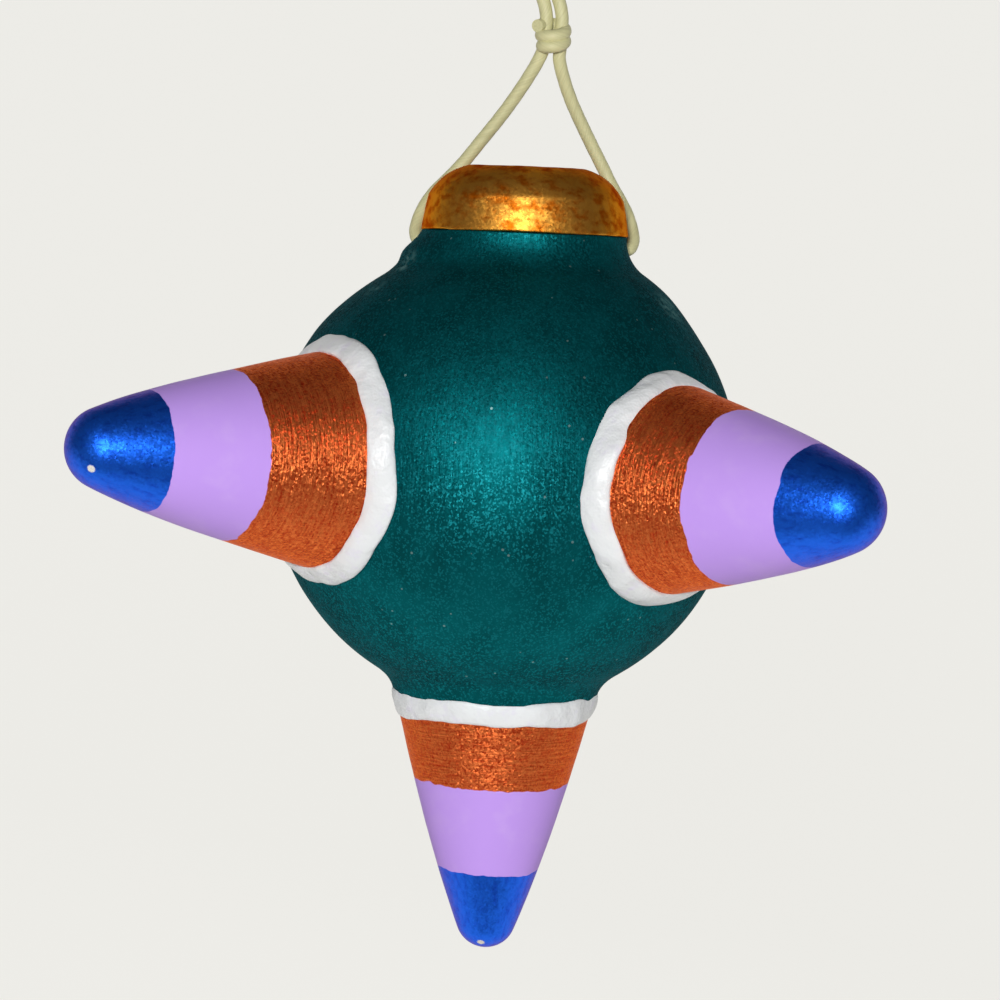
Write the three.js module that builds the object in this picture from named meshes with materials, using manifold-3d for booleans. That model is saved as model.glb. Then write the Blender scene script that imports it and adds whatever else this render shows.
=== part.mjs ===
// A small painted clay pinata that hangs on a cord: a round pot with a gilded rim, five blunt cones
// with a white slip line round each root, and a cord through two holes in the neck, knotted twice.
// Millimetres, +Z up, the viewer looks along +Y. The origin is where the hanging eye bears on its hook.
import * as THREE from "three";
import { mergeVertices } from "three/addons/utils/BufferGeometryUtils.js";
import Module from "manifold-3d";

const wasm = await Module();
wasm.setup();

// Pot: a hollow ball with a short neck, set a little to one side by hand
const BELLY_RADIUS = 19.5;
const POT_WALL = 2.2;
const NECK_RADIUS = 8.5;
const NECK_HEIGHT = 2.2; // above the circle where the neck leaves the belly
const NECK_SHIFT = 0.9; // of the neck's axis from the belly's, to the right
const MOUTH_RADIUS = 4.4;

// Two holes bored through the neck for the cord
const CORD_HOLE_RADIUS = 0.85;
const CORD_HOLE_DROP = 1.1; // below the neck's top
const CORD_HOLE_BACK = 1.3; // behind the neck's axis

// Rim: a clay collar on the neck's top, with a soft shoulder and a rounded lip
const RIM_OVERHANG = 0.1; // of its foot past the neck
const RIM_SHOULDER_INSET = 0.5; // of the shoulder from the foot
const RIM_SHOULDER_HEIGHT = 2.4;
const RIM_HEIGHT = 5.4;
const LIP_ROUNDING = 0.5; // how far the lip's crest stands back from the mouth's wall
const LIP_FULLNESS = 0.5; // how far out between crest and shoulder the lip is drawn
const LIP_FALL = 0.12; // how far down from the crest towards the shoulder it is drawn

// Slip lines: a round bead laid in the corner between a cone and the belly
const BEAD_RADIUS = 1.2;
const BEAD_PROUD = 0.3; // of the bead's centre from that corner, along the cone and away from it

// Clearance between pieces of clay that are joined with slip
const JOINT_GAP = 0.3;

// Cones, each set by hand: azimuth from the viewer towards the right, lift above the horizon
const CONES = [
  { name: "front_left", azimuth: -56, lift: 2.7, length: 20.7, root: 8.9, waist: 5.5, tip: 3.3 },
  { name: "front_right", azimuth: 47, lift: -0.6, length: 19.1, root: 8.7, waist: 5.6, tip: 3.6 },
  { name: "back_right", azimuth: 138, lift: -1.5, length: 19.6, root: 8.7, waist: 5.4, tip: 3.3 },
  { name: "back_left", azimuth: -142, lift: -1.5, length: 19.8, root: 8.7, waist: 5.4, tip: 3.3 },
  { name: "bottom", azimuth: 0, lift: -90, length: 20.7, root: 8.7, waist: 4.95, tip: 2.55 },
];
const WAIST_SHARE = 0.62; // where along a cone its two slopes would meet
const TIP_AIM = 1 / 3; // of the tip's radius: how far above the tip's centre the upper slope aims

// Cord: one thin twisted cord, doubled from the neck up
const CORD_RADIUS = 0.55;
const KNOT_RADIUS = 1.5;
const EYE_KNOT_RADIUS = 1.4;
const CORD_GAP = 0.3; // between stretches of cord, and between a stretch and its knot
const STRAND_SPREAD = 0.65; // of each of the two upper strands from their middle line
const EYE_KNOT_DROP = 12.5; // below the point where the eye bears
const STRAND_DROP = 8.0; // from the eye's knot to the main knot
const KNOT_ASIDE = 1.3; // of the main knot from the eye, to the right

// Main knot from the middle of the neck's top: to the right, back and up
const KNOT_FROM_NECK = new THREE.Vector3(1.7, 1.6, 16.3);

// Legs of the cord from the middle of the neck's top, out of the holes, round the rim, up to the knot
const LEFT_LEG = [
  [-8.2, 1.3, -1.1],
  [-8.8, 1.5, -0.95],
  [-9.1, 2.1, -0.25],
  [-8.95, 2.75, 0.75],
  [-8.5, 3.2, 1.9],
  [-7.75, 3.7, 3.1],
  [-6.55, 4.0, 4.4],
  [-5.4, 3.95, 5.7],
  [-4.1, 3.55, 7.4],
  [-2.0, 2.9, 10.2],
  [-0.2, 2.2, 13.0],
  [0.7, 1.8, 14.7],
];
const RIGHT_LEG = [
  [8.2, 1.3, -1.1],
  [8.8, 1.5, -0.95],
  [9.1, 2.1, -0.25],
  [8.95, 2.75, 0.75],
  [8.55, 3.2, 1.9],
  [7.9, 3.6, 3.1],
  [7.1, 3.9, 4.4],
  [6.4, 3.9, 5.7],
  [4.9, 3.5, 8.4],
  [3.4, 2.7, 11.3],
  [2.6, 2.1, 13.4],
  [2.3, 1.8, 14.6],
];

// Hanging eye: half of its loop from the eye's knot to the top, from the point where it bears
const EYE_HALF = [
  [0.65, -10.8],
  [1.9, -8.6],
  [2.9, -5.6],
  [3.1, -2.9],
  [2.1, -0.5],
];

// Facets
const ROUND_BELLY = 32;
const ROUND_CONE = 20;
const ROUND_RIM = 32;
const ROUND_HOLE = 12;
const ROUND_CORD = 8;
const ROUND_KNOT = 12;
const BEAD_SIDES = 6;
const LEG_STEPS = 18;
const EYE_STEPS = 24;
const CURVE_STEPS = 6;
const TIP_STEPS = 5;

// Places worked out from the sizes above
const neckFoot = Math.sqrt(BELLY_RADIUS ** 2 - NECK_RADIUS ** 2);
const neckTop = neckFoot + NECK_HEIGHT;
const neckMiddle = new THREE.Vector3(NECK_SHIFT, 0, neckTop);
const eyeKnotPlace = new THREE.Vector3(0, 0, -EYE_KNOT_DROP);
const mainKnotPlace = new THREE.Vector3(KNOT_ASIDE, 0, -EYE_KNOT_DROP - STRAND_DROP);
const neckPlace = mainKnotPlace.clone().sub(KNOT_FROM_NECK);
const potPlace = neckPlace.clone().sub(neckMiddle);

// Finishes
function finish(color, roughness, metalness) {
  return new THREE.MeshStandardMaterial({ color, roughness, metalness });
}

// Solids and geometry
function solidOf(geometry) {
  const bare = geometry.clone();
  bare.deleteAttribute("normal");
  bare.deleteAttribute("uv");
  const merged = mergeVertices(bare, 1e-4);
  const corners = merged.index.array;
  const triVerts = [];
  for (let i = 0; i < corners.length; i += 3) {
    const [a, b, c] = corners.slice(i, i + 3);
    if (a !== b && b !== c && c !== a) triVerts.push(a, b, c);
  }
  const mesh = new wasm.Mesh({
    numProp: 3,
    vertProperties: merged.attributes.position.array,
    triVerts: new Uint32Array(triVerts),
  });
  return new wasm.Manifold(mesh);
}

function geometryOf(solid) {
  const mesh = solid.getMesh();
  const geometry = new THREE.BufferGeometry();
  geometry.setAttribute("position", new THREE.BufferAttribute(mesh.vertProperties, 3));
  geometry.setIndex(new THREE.BufferAttribute(mesh.triVerts, 1));
  geometry.computeVertexNormals();
  return geometry;
}

// A ball, and a profile of (radius, height) points turned about +Z
function ball(radius, round) {
  return new THREE.SphereGeometry(radius, round, round / 2).rotateX(Math.PI / 2);
}

function turned(profile, round) {
  return new THREE.LatheGeometry(profile, round).rotateX(Math.PI / 2);
}

function post(radius, foot, top, round) {
  return turned(
    [
      new THREE.Vector2(0, foot),
      new THREE.Vector2(radius, foot),
      new THREE.Vector2(radius, top),
      new THREE.Vector2(0, top),
    ],
    round,
  );
}

// A cord along a curve, with flat ends
function cordAlong(curve, steps) {
  const corners = [];
  for (let i = 0; i < ROUND_CORD; i++) {
    const turn = (2 * Math.PI * i) / ROUND_CORD;
    corners.push(new THREE.Vector2(CORD_RADIUS * Math.cos(turn), CORD_RADIUS * Math.sin(turn)));
  }
  const options = { steps, extrudePath: curve, bevelEnabled: false };
  return new THREE.ExtrudeGeometry(new THREE.Shape(corners), options);
}

function smoothThrough(points) {
  return new THREE.CatmullRomCurve3(points, false, "centripetal");
}

// Pot: belly and neck, less the hollow, the mouth and the two cord holes
function potGeometry() {
  const neck = post(NECK_RADIUS, 0, neckTop, ROUND_RIM).translate(NECK_SHIFT, 0, 0);
  const mouth = post(MOUTH_RADIUS, 0, neckTop + POT_WALL, ROUND_RIM).translate(NECK_SHIFT, 0, 0);
  const holes = post(CORD_HOLE_RADIUS, -2 * NECK_RADIUS, 2 * NECK_RADIUS, ROUND_HOLE)
    .rotateY(Math.PI / 2)
    .translate(NECK_SHIFT, CORD_HOLE_BACK, neckTop - CORD_HOLE_DROP);
  const outside = solidOf(ball(BELLY_RADIUS, ROUND_BELLY)).add(solidOf(neck));
  const inside = solidOf(ball(BELLY_RADIUS - POT_WALL, ROUND_BELLY)).add(solidOf(mouth));
  return geometryOf(outside.subtract(inside).subtract(solidOf(holes)));
}

// Rim: its outline from the foot up the side, over the lip and down the mouth's wall
function rimGeometry() {
  const foot = NECK_RADIUS + RIM_OVERHANG;
  const shoulder = new THREE.Vector2(foot - RIM_SHOULDER_INSET, RIM_SHOULDER_HEIGHT);
  const crest = new THREE.Vector2(MOUTH_RADIUS + LIP_ROUNDING, RIM_HEIGHT);
  const lipTurn = new THREE.Vector2(
    crest.x + LIP_FULLNESS * (shoulder.x - crest.x),
    crest.y - LIP_FALL * (crest.y - shoulder.y),
  );
  const mouthCorner = new THREE.Vector2(MOUTH_RADIUS, RIM_HEIGHT);
  const lipInside = new THREE.Vector2(MOUTH_RADIUS, RIM_HEIGHT - LIP_ROUNDING);
  const lip = new THREE.QuadraticBezierCurve(shoulder, lipTurn, crest);
  const roll = new THREE.QuadraticBezierCurve(crest, mouthCorner, lipInside);
  const outline = [
    new THREE.Vector2(MOUTH_RADIUS, 0),
    new THREE.Vector2(foot, 0),
    ...lip.getPoints(CURVE_STEPS),
    ...roll.getPoints(CURVE_STEPS / 2).slice(1),
    new THREE.Vector2(MOUTH_RADIUS, 0),
  ];
  return turned(outline, ROUND_RIM);
}

// Cone along +Z from the belly's centre: a bowed side from the root to a round tip
function coneProfile(cone, thicker) {
  const reach = BELLY_RADIUS + cone.length;
  const rootHeight = Math.sqrt(BELLY_RADIUS ** 2 - cone.root ** 2);
  const tipCentre = reach - cone.tip;
  const root = new THREE.Vector2(cone.root, rootHeight);
  const waist = new THREE.Vector2(cone.waist, BELLY_RADIUS + WAIST_SHARE * cone.length);
  const slope = Math.atan2(waist.x - cone.tip, tipCentre + TIP_AIM * cone.tip - waist.y);
  const tipStart = new THREE.Vector2(cone.tip * Math.cos(slope), tipCentre + cone.tip * Math.sin(slope));
  const side = new THREE.QuadraticBezierCurve(root, waist, tipStart);
  const tip = [];
  for (let i = 1; i < TIP_STEPS; i++) {
    const turn = slope + ((Math.PI / 2 - slope) * i) / TIP_STEPS;
    tip.push(new THREE.Vector2(cone.tip * Math.cos(turn), tipCentre + cone.tip * Math.sin(turn)));
  }
  const base = rootHeight - POT_WALL;
  const around = [new THREE.Vector2(cone.root, base), ...side.getPoints(CURVE_STEPS), ...tip];
  const outline = around.map((point) => new THREE.Vector2(point.x + thicker, point.y));
  return [new THREE.Vector2(0, base), ...outline, new THREE.Vector2(0, reach + thicker)];
}

function coneGeometry(cone) {
  const belly = solidOf(ball(BELLY_RADIUS + JOINT_GAP, ROUND_BELLY));
  return geometryOf(solidOf(turned(coneProfile(cone, 0), ROUND_CONE)).subtract(belly));
}

// Slip line: a ring of round section round the cone's root, clear of the cone and of the belly
function beadGeometry(cone) {
  const rootHeight = Math.sqrt(BELLY_RADIUS ** 2 - cone.root ** 2);
  const section = [];
  for (let i = 0; i <= BEAD_SIDES; i++) {
    const turn = (2 * Math.PI * (i % BEAD_SIDES)) / BEAD_SIDES;
    const aside = cone.root + BEAD_PROUD + BEAD_RADIUS * Math.cos(turn);
    section.push(new THREE.Vector2(aside, rootHeight + BEAD_PROUD + BEAD_RADIUS * Math.sin(turn)));
  }
  const ring = solidOf(turned(section, ROUND_CONE));
  const belly = solidOf(ball(BELLY_RADIUS + JOINT_GAP, ROUND_BELLY));
  const stem = solidOf(turned(coneProfile(cone, JOINT_GAP), ROUND_CONE));
  return geometryOf(ring.subtract(belly).subtract(stem));
}

// Direction of a cone from the belly's centre
function coneDirection(cone) {
  const azimuth = THREE.MathUtils.degToRad(cone.azimuth);
  const lift = THREE.MathUtils.degToRad(cone.lift);
  return new THREE.Vector3(
    Math.sin(azimuth) * Math.cos(lift),
    -Math.cos(azimuth) * Math.cos(lift),
    Math.sin(lift),
  );
}

function piece(name, geometry, material) {
  const mesh = new THREE.Mesh(geometry, material);
  mesh.name = name;
  return mesh;
}

// The pinata: everything of clay, placed from the belly's centre
function pinata() {
  const teal = finish(0x0d6b6c, 0.5, 0.1);
  const gold = finish(0xb8791c, 0.35, 0.8);
  const banded = finish(0xb4532a, 0.5, 0.2);
  const white = finish(0xf4f6f6, 0.4, 0);
  const group = new THREE.Group();
  group.position.copy(potPlace);
  const rim = piece("pot_rim", rimGeometry(), gold);
  rim.position.copy(neckMiddle);
  group.add(piece("pot_body", potGeometry(), teal), rim);
  for (const cone of CONES) {
    const arm = new THREE.Group();
    arm.quaternion.setFromUnitVectors(new THREE.Vector3(0, 0, 1), coneDirection(cone));
    arm.add(piece("cone_" + cone.name, coneGeometry(cone), banded));
    arm.add(piece("slip_line_" + cone.name, beadGeometry(cone), white));
    group.add(arm);
  }
  return group;
}

// Lower cord: straight through both holes, then up each side of the rim to the main knot
function lowerCord(cord) {
  const left = LEFT_LEG.map((point) => new THREE.Vector3(...point));
  const right = RIGHT_LEG.map((point) => new THREE.Vector3(...point));
  const inHole = new THREE.Vector3(CORD_GAP, 0, 0);
  const crossing = new THREE.LineCurve3(left[0].clone().add(inHole), right[0].clone().sub(inHole));
  const group = new THREE.Group();
  group.position.copy(neckPlace);
  group.add(
    piece("cord_crossing", cordAlong(crossing, 1), cord),
    piece("cord_leg_left", cordAlong(smoothThrough(left), LEG_STEPS), cord),
    piece("cord_leg_right", cordAlong(smoothThrough(right), LEG_STEPS), cord),
  );
  return group;
}

// Upper cord: the two strands between the knots
function upperCord(cord) {
  const strands = [
    ["cord_strand_left", -STRAND_SPREAD],
    ["cord_strand_right", STRAND_SPREAD],
  ];
  const clearOf = (knot) => Math.sqrt((knot + CORD_GAP) ** 2 - STRAND_SPREAD ** 2) + CORD_GAP;
  const group = new THREE.Group();
  for (const [name, aside] of strands) {
    const foot = mainKnotPlace.clone().add(new THREE.Vector3(aside, 0, clearOf(KNOT_RADIUS)));
    const top = eyeKnotPlace.clone().add(new THREE.Vector3(aside, 0, -clearOf(EYE_KNOT_RADIUS)));
    group.add(piece(name, cordAlong(new THREE.LineCurve3(foot, top), 1), cord));
  }
  return group;
}

// Hanging eye: a loop of the same cord above its knot
function eyeLoop(cord) {
  const rising = EYE_HALF.map(([aside, height]) => new THREE.Vector3(-aside, 0, height));
  const falling = EYE_HALF.map(([aside, height]) => new THREE.Vector3(aside, 0, height)).reverse();
  const top = new THREE.Vector3(0, 0, CORD_RADIUS);
  return piece("eye_loop", cordAlong(smoothThrough([...rising, top, ...falling]), EYE_STEPS), cord);
}

function knot(name, radius, place, cord) {
  const mesh = piece(name, ball(radius, ROUND_KNOT), cord);
  mesh.position.copy(place);
  return mesh;
}

const cream = finish(0xd8d0a4, 0.8, 0);
const group = new THREE.Group();
group.add(
  pinata(),
  lowerCord(cream),
  upperCord(cream),
  eyeLoop(cream),
  knot("main_knot", KNOT_RADIUS, mainKnotPlace, cream),
  knot("eye_knot", EYE_KNOT_RADIUS, eyeKnotPlace, cream),
);

export default group;
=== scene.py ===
"""Looks of a hanging painted clay pinata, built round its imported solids."""

import math

import bpy
from bpy.props import FloatProperty, FloatVectorProperty, IntProperty, PointerProperty, StringProperty
from mathutils import Matrix, Vector


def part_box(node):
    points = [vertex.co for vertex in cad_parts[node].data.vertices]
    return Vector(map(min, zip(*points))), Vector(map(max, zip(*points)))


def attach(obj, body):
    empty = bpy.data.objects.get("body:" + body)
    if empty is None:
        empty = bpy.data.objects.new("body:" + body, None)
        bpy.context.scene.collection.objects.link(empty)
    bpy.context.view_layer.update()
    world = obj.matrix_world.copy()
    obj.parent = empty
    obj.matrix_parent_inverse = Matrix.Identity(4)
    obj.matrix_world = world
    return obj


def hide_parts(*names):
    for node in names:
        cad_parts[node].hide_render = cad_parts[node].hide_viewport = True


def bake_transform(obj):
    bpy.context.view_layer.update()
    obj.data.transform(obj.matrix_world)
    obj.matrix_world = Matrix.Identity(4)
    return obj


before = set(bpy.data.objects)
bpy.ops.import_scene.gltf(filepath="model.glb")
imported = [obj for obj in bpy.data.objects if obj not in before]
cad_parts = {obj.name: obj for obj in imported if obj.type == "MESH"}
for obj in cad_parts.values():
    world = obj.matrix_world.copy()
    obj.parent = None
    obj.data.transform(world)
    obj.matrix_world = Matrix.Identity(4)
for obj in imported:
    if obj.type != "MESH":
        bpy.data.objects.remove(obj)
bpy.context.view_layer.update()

bl_info = {
    "name": "Painted clay pinata",
    "version": (1, 0, 0),
    "blender": (4, 5, 0),
    "location": "View3D > Sidebar > Pinata",
    "description": "Dresses a hanging clay pinata with paint, slip lines and a knotted cord",
    "category": "Object",
}

MM = 0.001

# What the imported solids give: the belly, the neck's middle and the two knots
pot_low, pot_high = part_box("pot_body")
rim_low, rim_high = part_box("pot_rim")
BELLY_RADIUS = (pot_high.x - pot_low.x) / 2
BELLY_CENTRE = Vector(((pot_low.x + pot_high.x) / 2, (pot_low.y + pot_high.y) / 2, pot_low.z + BELLY_RADIUS))
NECK_MIDDLE = Vector(((rim_low.x + rim_high.x) / 2, (rim_low.y + rim_high.y) / 2, rim_low.z))
RIM_RADIUS = (rim_high.x - rim_low.x) / 2
RIM_HEIGHT = rim_high.z - rim_low.z
MAIN_KNOT = sum(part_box("main_knot"), Vector()) / 2
EYE_KNOT = sum(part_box("eye_knot"), Vector()) / 2

# Legs of the cord from the middle of the neck's top, out of the holes and up to the main knot, in metres
LEFT_LEG = (
    (-0.0082, 0.0013, -0.0011),
    (-0.0088, 0.0015, -0.00095),
    (-0.0091, 0.0021, -0.00025),
    (-0.00895, 0.00275, 0.00075),
    (-0.0085, 0.0032, 0.0019),
    (-0.00775, 0.0037, 0.0031),
    (-0.00655, 0.004, 0.0044),
    (-0.0054, 0.00395, 0.0057),
    (-0.0041, 0.00355, 0.0074),
    (-0.002, 0.0029, 0.0102),
    (-0.0002, 0.0022, 0.013),
    (0.0007, 0.0018, 0.0147),
)
RIGHT_LEG = (
    (0.0082, 0.0013, -0.0011),
    (0.0088, 0.0015, -0.00095),
    (0.0091, 0.0021, -0.00025),
    (0.00895, 0.00275, 0.00075),
    (0.00855, 0.0032, 0.0019),
    (0.0079, 0.0036, 0.0031),
    (0.0071, 0.0039, 0.0044),
    (0.0064, 0.0039, 0.0057),
    (0.0049, 0.0035, 0.0084),
    (0.0034, 0.0027, 0.0113),
    (0.0026, 0.0021, 0.0134),
    (0.0023, 0.0018, 0.0146),
)

# Half of the hanging eye from its knot to the top: aside and height from the point where it bears, in metres
EYE_HALF = (
    (0.00065, -0.0108),
    (0.0019, -0.0086),
    (0.0029, -0.0056),
    (0.0031, -0.0029),
    (0.0021, -0.0005),
)

# Each cone as the hand that set it left it, in metres: the bands end so far from the belly's centre
CONES = (
    {
        "name": "front_left",
        "root": 0.0089,
        "waist": 0.0055,
        "tip": 0.0033,
        "copper_end": 0.0263,
        "lavender_end": 0.0335,
        "skirt": 0.0013,
        "climb": 0.0012,
        "chip": (-0.0327, -0.0252, -0.0563),
        "seed": 3,
    },
    {
        "name": "front_right",
        "root": 0.0087,
        "waist": 0.0056,
        "tip": 0.0036,
        "copper_end": 0.0251,
        "lavender_end": 0.0325,
        "skirt": 0.0006,
        "climb": 0.0018,
        "seed": 8,
    },
    {
        "name": "back_right",
        "root": 0.0087,
        "waist": 0.0054,
        "tip": 0.0033,
        "copper_end": 0.0259,
        "lavender_end": 0.0328,
        "skirt": 0.0012,
        "climb": 0.0015,
        "seed": 14,
    },
    {
        "name": "back_left",
        "root": 0.0087,
        "waist": 0.0054,
        "tip": 0.0033,
        "copper_end": 0.0257,
        "lavender_end": 0.0330,
        "skirt": 0.0013,
        "climb": 0.0014,
        "seed": 21,
    },
    {
        "name": "bottom",
        "root": 0.0087,
        "waist": 0.00495,
        "tip": 0.00255,
        "copper_end": 0.0259,
        "lavender_end": 0.0334,
        "skirt": -0.0009,
        "climb": 0.0031,
        "chip": (-0.0016, -0.0032, -0.0959),
        "seed": 5,
    },
)
WAIST_SHARE = 0.62  # where along a cone its two slopes would meet
TIP_AIM = 1 / 3  # of the tip's radius: how far above the tip's centre the upper slope aims
SIDE_SLOPE = 0.24  # of a cone's side next to its root
CONE_SINK = 1.0 * MM  # of a cone's base into the belly's wall
COLLAR_TUCK = 0.1  # of the belly's outline under the bottom cone's collar, in radians
NECK_STEPS = 6  # stretches of the neck's side
SLIP_STEPS = 40  # stretches round the section of a white line
SLIP_SEED = 100  # added to a cone's seed, so that its white line strays in its own way

# Where the neck's shift to one side begins and ends, as heights in shares of the belly's radius
SHIFT_FROM = 0.55
SHIFT_TO = 0.92
MOUTH_MARGIN = 1.3  # of the mouth's radius: how far out from the neck's axis the clay is left bare

# Points round each kind of piece, of which the first and the last meet
POT_SEGMENTS = 257
RIM_SEGMENTS = 193
CONE_SEGMENTS = 129
SLIP_SEGMENTS = 221

# Knots: where each begins, in radians round it, and how its first turn is tucked in
MAIN_KNOT_START = 0.6
EYE_KNOT_START = 2.6
KNOT_STEPS = 40
KNOT_TUCK = 0.35  # of the turns' radius, where the cord goes in
KNOT_OPENING = 3  # shares of that radius that it would gain over the whole knot
KNOT_ROUTE_STEPS = 3  # between two points of a knot

# Cord: its mesh, and where it runs in and between its knots, in metres
CORD_STEP = 0.0001  # between rings of its mesh
ROUTE_STEPS = 8  # between two points of its route
INTO_KNOT = Vector((0.00065, 0, -0.0006))  # of the right leg's end from the main knot's middle
STRAND_POINTS = ((MAIN_KNOT, 0.0003), (MAIN_KNOT, 0.002), (EYE_KNOT, -0.0019), (EYE_KNOT, 0.0))

# Rubbed places on the belly: middle and reach, in metres
RUBBED = (
    ((-0.0101, -0.0056, -0.0396), 0.0016),
    ((-0.0121, -0.0068, -0.0422), 0.0013),
    ((0.0113, -0.0061, -0.0428), 0.0024),
)

# Camera: sensor in millimetres, and shift in shares of the picture's width
SENSOR_WIDTH = 36
CAMERA_SHIFT = (-0.004, -0.030)

# Lamps: place and width in metres, power in watts, and whether it gleams in glossy paint
LAMPS = (
    ("key_lamp", (-0.05, -0.55, 0.03), 0.10, 2.15, True),
    ("left_fill", (-0.50, -0.25, -0.05), 0.50, 0.42, False),
    ("right_fill", (0.50, -0.25, -0.05), 0.50, 0.6, False),
    ("low_fill", (0.0, -0.30, -0.55), 0.50, 0.7, False),
    ("back_fill", (0.10, 0.55, 0.15), 0.50, 1.6, False),
)
ROOM_LIGHT = 0.05  # of the dim room round the paper

# Sheet of paper under and behind: floor, wall, bend between them, half width, front edge and top, in metres
PAPER_FLOOR = -0.32
PAPER_WALL = 0.8
PAPER_BEND = 0.3
PAPER_HALF_WIDTH = 1.6
PAPER_FRONT = -0.165
PAPER_TOP = 0.6
PAPER_GLOW = 0.88  # share of the paper's own colour where it is looked at


def linear(hex_colour):
    """An sRGB hex colour as linear red, green, blue and alpha."""
    shares = [int(hex_colour[i : i + 2], 16) / 255 for i in (1, 3, 5)]
    lit = [c / 12.92 if c <= 0.04045 else ((c + 0.055) / 1.055) ** 2.4 for c in shares]
    return (*lit, 1.0)


def colour(name, description, hex_colour):
    """A colour that a user may change."""
    return FloatVectorProperty(
        name=name, description=description, subtype="COLOR", size=4, min=0, max=1, default=linear(hex_colour)
    )


def size(name, description, millimetres):
    """A length that a user may change."""
    return FloatProperty(
        name=name, description=description, default=millimetres * MM, unit="LENGTH", precision=5
    )


class PinataClay(bpy.types.PropertyGroup):
    """Sizes of the clay that the solids leave open."""

    wall: size("Wall", "Thickness of the pot's wall", 2.2)
    neck: size("Neck", "Radius of the neck", 8.5)
    neck_fillet: size("Neck fillet", "Radius of the hollow where the neck leaves the belly", 3.3)
    smear: size("Smear", "Thickness of the clay smeared over that hollow on the left", 1.1)
    smear_drop: size("Smear drop", "From the neck's top down to the middle of that smear", 1.9)
    smear_reach: size("Smear reach", "From the middle of that smear to its edges", 2.0)
    mouth: size("Mouth", "Radius of the mouth", 4.4)
    edge: size("Edge", "Rounding of the mouth's edges", 0.4)
    seam: size("Seam", "Rounding where the rim meets the neck", 0.12)
    cord_hole: size("Cord hole", "Radius of the two holes in the neck", 0.85)
    cord_hole_drop: size("Cord hole drop", "From the neck's top down to the holes", 1.1)
    cord_hole_back: size("Cord hole back", "From the neck's axis back to the holes", 1.3)
    ridge_height: size("Ridge height", "Where the rim's side turns into its lip", 2.9)
    ridge_inset: size("Ridge inset", "Of that ridge from the rim's foot", 0.5)
    rim_bow: size("Rim bow", "How far the rim's side swells out", 0.04)
    lip: size("Lip", "How far the lip's crest stands back from the mouth", 0.5)
    lip_draw: size("Lip draw", "How far out from its crest the lip is drawn", 2.1)
    lip_fall: size("Lip fall", "How far under its crest the lip is drawn", 0.5)
    collar: size("Collar", "How far the belly's clay runs down the bottom cone", 1.2)
    collar_reach: size("Collar reach", "From the bottom cone's root to where that clay begins", 1.6)
    collar_lift: size("Collar lift", "Thickness of that clay at its edge", 0.12)
    wobble: size("Wobble", "How far a shaped surface strays", 0.11)
    wobble_length: size("Wobble length", "Distance over which it strays", 9.0)
    slip_rise: size("Slip line rise", "Height of a white line over its two edges", 0.36)
    slip_depth: size("Slip line depth", "How deep a white line fills its corner", 1.1)
    slip_wobble: size("Slip line wobble", "How far a white line strays", 0.75)
    slip_wobble_length: size("Slip line wobble length", "Distance over which it strays", 5.5)


class PinataCord(bpy.types.PropertyGroup):
    """Sizes of the cord and its knots."""

    diameter: size("Diameter", "Thickness of the cord", 1.1)
    lay: size("Lay", "Length of one turn of its twist", 4.2)
    plies: IntProperty(name="Plies", description="Yarns twisted into the cord", default=3, min=2)
    groove: FloatProperty(
        name="Groove", description="Depth between yarns as a share of the radius", default=0.02
    )
    knot_wrap: size("Knot wrap", "Radius of the turns of a knot", 0.98)
    knot_turns: FloatProperty(name="Knot turns", description="Turns of cord in a knot", default=2.4)
    knot_rise: size("Knot rise", "Height from the first turn to the last", 2.0)
    knot_slant: size("Knot slant", "How far each turn rises and falls", 0.35)
    knot_tail: size("Knot tail", "How far the cord's end stands out of a knot", 0.2)


class PinataPaints(bpy.types.PropertyGroup):
    """Colours of the paints, the clay and the cord."""

    teal: colour("Teal", "Pearl acrylic of the pot", "#086a70")
    teal_low: colour("Teal, thin", "Where that coat is thin", "#06585d")
    teal_flake: colour("Teal, flakes", "Paler flakes in that coat", "#157a82")
    scuff: colour("Scuff", "Rubbed paint and dust", "#8fb3b2")
    gold: colour("Gold", "Metallic acrylic of the rim", "#ffb54a")
    gold_low: colour("Gold, thin", "Where that coat is thin", "#d8700f")
    gold_edge: colour("Gold, edge", "What is left of that gold where it turns away", "#a8590c")
    copper: colour("Copper", "Metallic acrylic next to the belly", "#ff8a48")
    copper_low: colour("Copper, thin", "Where that coat is thin", "#b21c04")
    band_edge: colour("Copper and blue, edge", "What is left of them where they turn away", "#ffb890")
    lavender: colour("Lavender", "Matte acrylic in the middle of a cone", "#cda4fd")
    lavender_pale: colour("Lavender, rubbed", "Smudges on that paint", "#d6b2fd")
    blue: colour("Blue", "Pearl acrylic of the tips", "#2272ff")
    blue_low: colour("Blue, thin", "Where that coat is thin", "#0d35c4")
    white: colour("White", "Thick acrylic of the slip lines", "#f3f5f6")
    clay: colour("Clay", "Bare fired clay", "#b9795a")
    chalk: colour("Chalk", "Primer that shows where paint has chipped", "#e9e4dc")
    cord: colour("Cord", "Waxed cotton", "#ddd9a6")
    cord_low: colour("Cord, shaded", "Between its yarns", "#cec996")
    paper: colour("Paper", "Floor and backdrop", "#f6f5f0")


def wire(tree, node, wiring):
    """Links or sets a node's inputs. A node given as a value stands for its first output in use."""
    for key, value in wiring.items():
        if isinstance(value, bpy.types.Node):
            value = next(socket for socket in value.outputs if socket.enabled)
        if isinstance(value, bpy.types.NodeSocket):
            tree.links.new(value, node.inputs[key])
        else:
            node.inputs[key].default_value = value


def add_node(tree, kind, wiring=None, **settings):
    """Adds a node, gives it its settings, and links or sets the inputs named in wiring."""
    made = tree.nodes.new(kind)
    for name, value in settings.items():
        setattr(made, name, value)
    wire(tree, made, wiring or {})
    return made


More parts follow.
